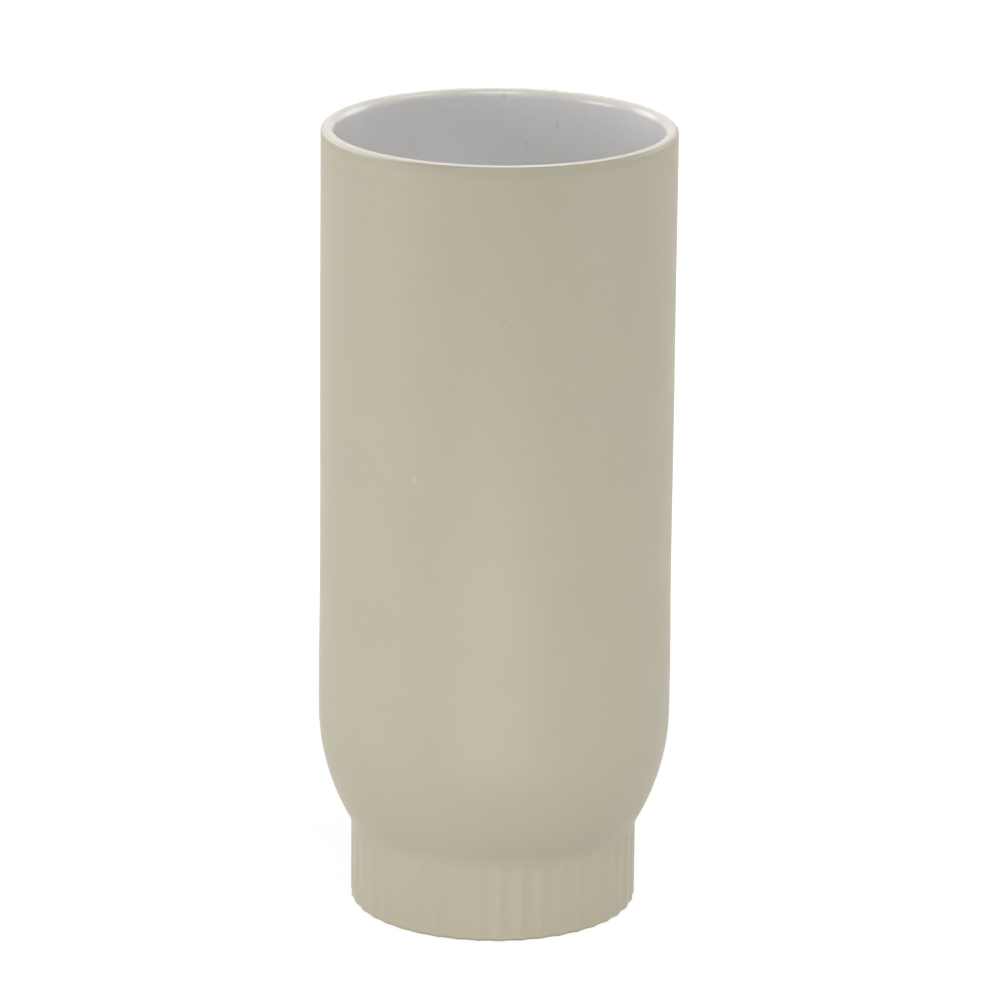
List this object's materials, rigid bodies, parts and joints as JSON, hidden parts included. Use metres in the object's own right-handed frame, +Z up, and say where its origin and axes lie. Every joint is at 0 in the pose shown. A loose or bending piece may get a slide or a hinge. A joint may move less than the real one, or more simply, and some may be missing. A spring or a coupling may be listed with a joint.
{
  "type": "decorative vase",
  "caption": "Straight cylinder vase that draws in through a short bowl to a narrower fluted foot, with a matt glaze outside and a gloss lining.",
  "frame": {"origin": "centre of the surface that the vase stands on", "axes": "+Z up along the vase's axis; the front in the picture looks along -Y"},
  "size_m": [0.11, 0.11, 0.25],
  "materials": {
    "stoneware": "bare fired clay, rough",
    "slip": "fired slip, rough",
    "matt_glaze": "matt beige glaze",
    "gloss_glaze": "glossy white glaze"
  },
  "bodies": {
    "root": {"stoneware_body": "stoneware", "stoneware_foot": "stoneware", "slip_seam": "slip", "outer_glaze": "matt_glaze", "lining_glaze": "gloss_glaze"}
  },
  "joints": []
}
